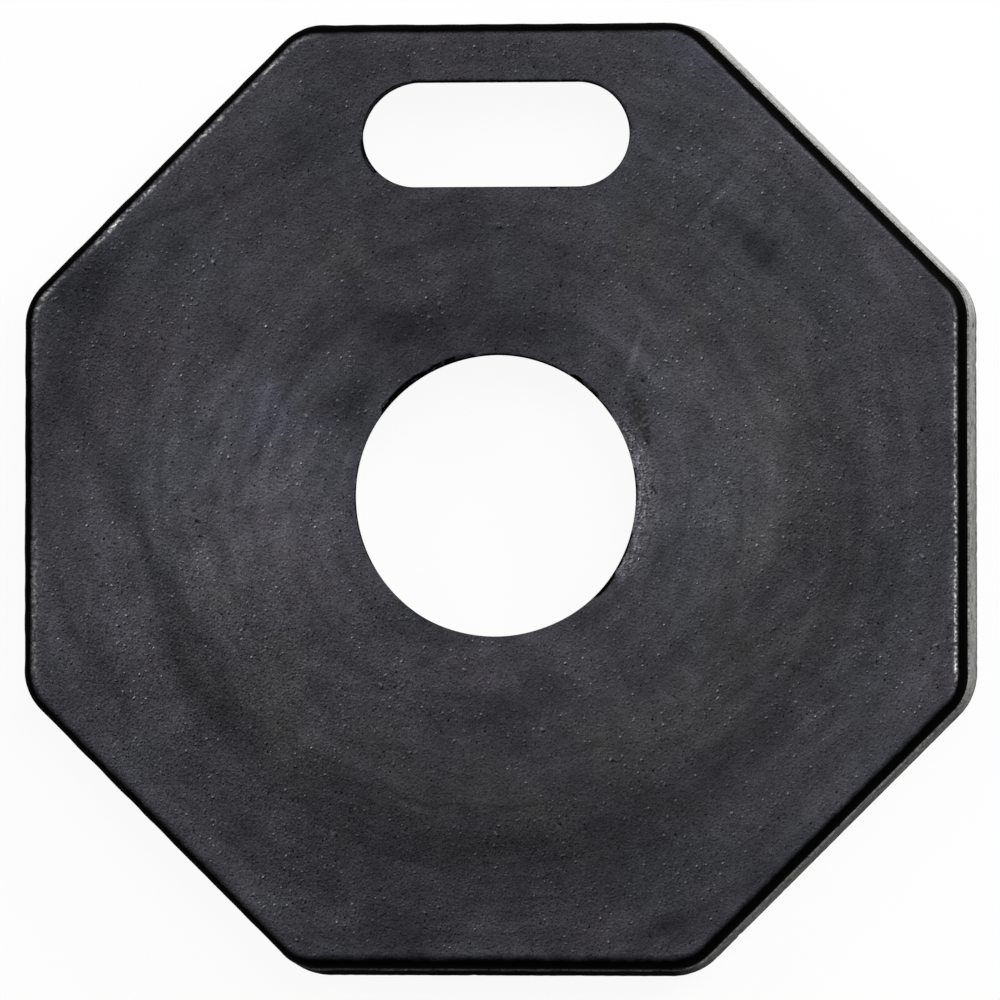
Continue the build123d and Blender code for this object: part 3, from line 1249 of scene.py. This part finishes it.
# %% [markdown]
# The ballast is bare black crumb rubber under dust. The same grain and speck groups are placed with coarser
# sizes, every crumb has its own tone, and torn-out crumbs and dark dots are painted shade, as in hollows.
# Dust, which also carries painted light by side, hides the rubber where it is thick, and the satin film is a
# coat, which shows at a low angle and leaves the wall dark from the front.

# %% Ballast material
BALLAST_GRAIN = 0.9 * MM
PIT_SIZE = 3.2 * MM
DUST_AND_LIGHT_TINT, DUST_AND_LIGHT_GREY = (1.035, 1.0, 0.97), 0.36
BARE_TINT, BARE_GREY = (1.0, 0.98, 1.0), 0.010
ballast_rubber, tree, shader = new_material("dusty_crumb_rubber")
place = add(tree, "TexCoord").outputs["Object"]
dust_and_light, hollow, film = (painted(tree, name) for name in ("dust_and_light", "hollow", "film"))
grained = use(tree, lit_grain, {"Place": place, "Size": BALLAST_GRAIN})
crumbs = add(tree, "TexVoronoi", {"Vector": place, "Scale": 1 / CRUMB})
lone = add(tree, "SeparateColor", {0: crumbs.outputs["Color"]}).outputs[0]
pit_shade = use(tree, specks, {"Place": place, "Size": PIT_SIZE, "Share": 0.3})["Mask"]
tone = total(tree, [
    calc(tree, "MULTIPLY", grained["Tone"], 1.6),
    noise_at(tree, place, 14 * MM, 1.0, detail=3.0),
    calc(tree, "MULTIPLY_ADD", lone, 0.4, -0.2),
    # Torn-out crumbs and dark dots are painted shade, as in hollows.
    calc(tree, "MULTIPLY", hollow, -1.2),
    calc(tree, "MULTIPLY", pit_shade, -1.4),
])
grit = calc(tree, "EXPONENT", tone)
dust_and_light_colour = scaled(tree, DUST_AND_LIGHT_TINT, calc(tree, "MULTIPLY", grit, DUST_AND_LIGHT_GREY))
dust_and_light_share = calc(tree, "MULTIPLY_ADD", noise_at(tree, place, 7 * MM, 0.5, detail=3.0), dust_and_light, dust_and_light)
dust_and_light_share = calc(tree, "POWER", calc(tree, "MAXIMUM", dust_and_light_share, 0.0), 1.4)
bare = scaled(tree, BARE_TINT, calc(tree, "MULTIPLY", grit, BARE_GREY))
fill_inputs(tree, shader, {
    "Base Color": mixed(tree, dust_and_light_share, bare, dust_and_light_colour),
    "Roughness": step_between(tree, tone, -0.8, 0.8, 0.9, 0.75),
    "Coat Weight": calc(tree, "MINIMUM", calc(tree, "MULTIPLY", film, grit), 1.0),
    "Coat Roughness": 0.22,
    "Coat IOR": 1.5,
    "Specular IOR Level": 0.0,
    "Normal": pressed(tree, grained["Height"], 0.35 * MM, 0.7),
})
ballast_piece.data.materials.append(ballast_rubber)
print("material", ballast_rubber.name, len(tree.nodes), "nodes")

# %% [markdown]
# The base lies on a plain white floor. More lamp light would make the floor white, but would also wash
# out the rubber. So part of the white the camera sees is the floor's own glow, and the rest is real
# light, so that the floor keeps the base's shadow.

# %% Floor
GLOW_SHARE = 0.93
bpy.ops.mesh.primitive_plane_add(size=8, location=(0, 0, -0.1 * MM))
floor = bpy.context.object
floor.name = "studio_floor"
floor_paint, tree, paint = new_material("floor_paint")
fill_inputs(tree, paint, {"Base Color": (0.9, 0.9, 0.9, 1), "Roughness": 0.9, "Specular IOR Level": 0.0})
glow = add(tree, "Emission", {"Color": (1, 1, 1, 1), "Strength": 1.0})
path = add(tree, "LightPath").outputs
seen = calc(tree, "MAXIMUM", path["Is Camera Ray"], path["Is Transmission Ray"])
seen = calc(tree, "MAXIMUM", seen, path["Is Glossy Ray"])
glowing = calc(tree, "MULTIPLY", seen, GLOW_SHARE)
mix = add(tree, "MixShader", {0: glowing, 1: paint.outputs[0], 2: glow.outputs[0]})
tree.links.new(mix.outputs[0], tree.nodes["Material Output"].inputs["Surface"])
floor.data.materials.append(floor_paint)
print("floor", floor.name)

# %% [markdown]
# The light is a plain studio: a dim white world and three soft square lamps. The one on the right grazes
# the wall there, whose satin film catches it. Each lamp is given the share of full white that it lays on
# the floor, so its power follows from its distance and its height, and the lamps can be moved without a
# new guess.

# %% Light
world = bpy.data.worlds.new("studio")
bpy.context.scene.world = world
world.use_nodes = True
fill_inputs(world.node_tree, world.node_tree.nodes["Background"], {"Color": (1, 1, 1, 1), "Strength": 0.1})


def soft_light(name, place, size, share):
    """Square soft light turned to the base, as strong as the share of full white it gives the floor."""
    lamp = bpy.data.lights.new(name, "AREA")
    lamp.size = size
    distance = Vector(place).length
    lamp.energy = share * math.pi * math.pi * distance ** 2 / (Vector(place).z / distance)
    light = bpy.data.objects.new(name, lamp)
    light.location = place
    light.rotation_euler = (-Vector(place)).to_track_quat("-Z", "Y").to_euler()
    bpy.context.scene.collection.objects.link(light)
    print(f"{name}: {lamp.energy:.0f} W")


soft_light("top_light", (0.8, 1.1, 3.0), 1.6, 0.45)
soft_light("left_light", (-1.6, 0.8, 1.7), 0.7, 0.15)
soft_light("right_light", (1.9, 1.5, 1.3), 0.8, 0.3)

# %% [markdown]
# The camera looks down from almost straight above, a little to the right and in front, from 2.5 m away.
# Its focal length follows from the size of a pixel on the top face, so that one measured length sets the
# framing.

# %% Camera
CAMERA_PLACE = Vector((0.167, -0.071, 2.53))
AIM = Vector((1.82 * MM, -1.74 * MM, TOP))
PIXEL, PICTURE = 0.42067 * MM, 1000
SENSOR = 36
lens = bpy.data.cameras.new("camera")
camera = bpy.data.objects.new("camera", lens)
bpy.context.scene.collection.objects.link(camera)
forward = (AIM - CAMERA_PLACE).normalized()
right = forward.cross(Vector((0, 1, 0))).normalized()
up = right.cross(forward)
camera.matrix_world = Matrix.Translation(CAMERA_PLACE) @ Matrix((right, up, -forward)).transposed().to_4x4()
lens.sensor_width = SENSOR
lens.lens = SENSOR * ((AIM - CAMERA_PLACE).length + SHOULDER_RADIUS) / (PICTURE * PIXEL)
bpy.context.scene.camera = camera
bpy.context.scene.view_settings.view_transform = "Standard"
print(f"camera with a {lens.lens:.0f} mm lens")
